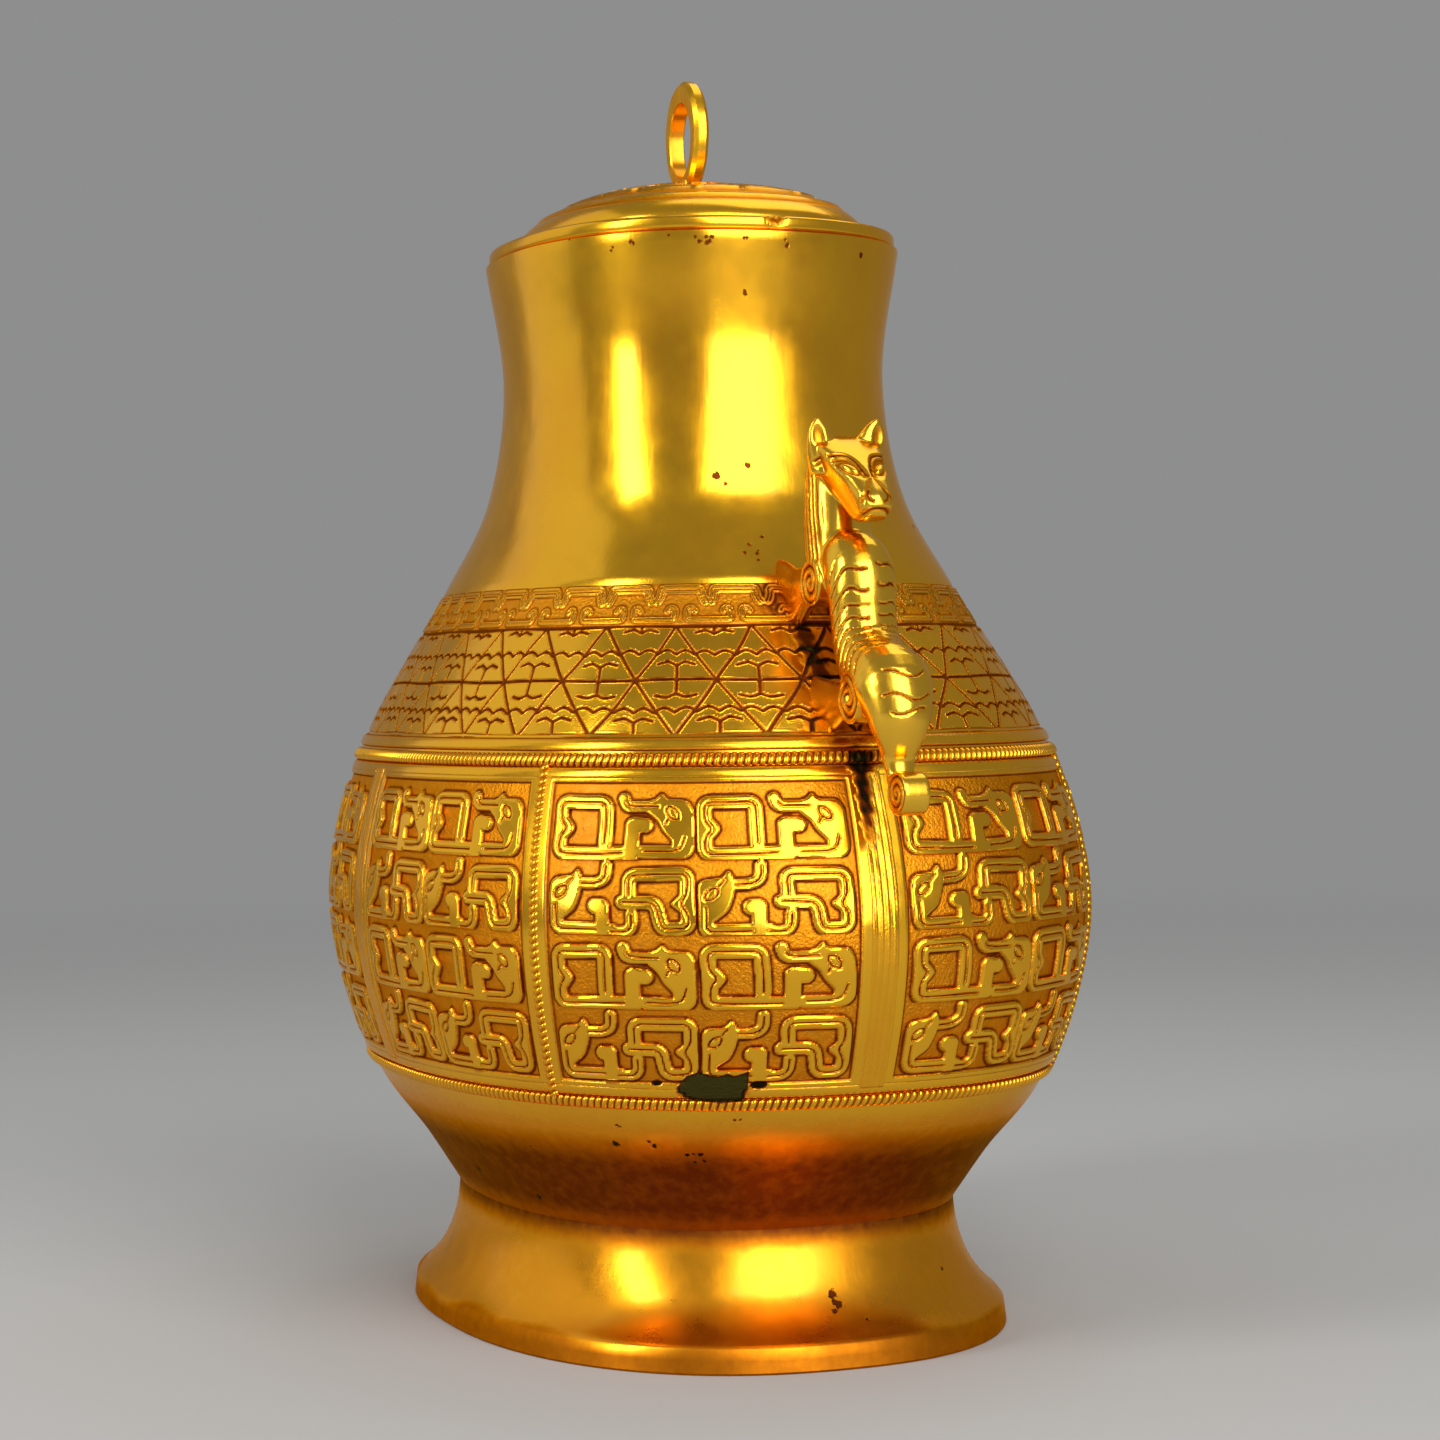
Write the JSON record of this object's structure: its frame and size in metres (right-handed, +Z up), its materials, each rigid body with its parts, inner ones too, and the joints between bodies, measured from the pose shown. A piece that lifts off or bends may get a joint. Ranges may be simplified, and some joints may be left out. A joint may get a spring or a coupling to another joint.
{
  "type": "lidded oval bronze jar",
  "caption": "Oval pear-shaped jar on a flared foot, with a domed lid, a ring finial, rope-framed relief panels and two climbing-tiger handles.",
  "frame": {"origin": "middle of the foot's underside, on the ground", "axes": "+Z up; X runs through the two tiger handles, along the oval's long axis; Y runs through the broad sides"},
  "size_m": [0.3296, 0.218, 0.3802],
  "materials": {
    "gilt_plain": "burnished fire gilding",
    "gilt_relief": "cast and chased relief, gilt, with orange-brown toning in the recesses",
    "gilt_tiger": "chased and gilt, rubbed bright on the high parts"
  },
  "bodies": {
    "vessel": {"vessel_body": "gilt_plain", "foot_ring": "gilt_plain", "shoulder_band": "gilt_relief", "rope_upper": "gilt_relief", "panel_band_top": "gilt_relief", "panel_band_bottom": "gilt_relief", "rope_lower": "gilt_relief", "strap_right": "gilt_relief", "rope_back_right": "gilt_relief", "strap_back": "gilt_relief", "rope_back_left": "gilt_relief", "strap_left": "gilt_relief", "rope_front_left": "gilt_relief", "strap_front": "gilt_relief", "rope_front_right": "gilt_relief", "tiger_handle_right": "gilt_tiger", "tiger_handle_left": "gilt_tiger"},
    "lid": {"lid_cover": "gilt_plain", "lid_spigot": "gilt_plain", "lid_loop": "gilt_plain"}
  },
  "joints": [
    {"name": "lid_lift", "type": "slide", "parent": "vessel", "child": "lid", "axis": [0, 0, 1], "range_m": [0, 0.1]}
  ]
}
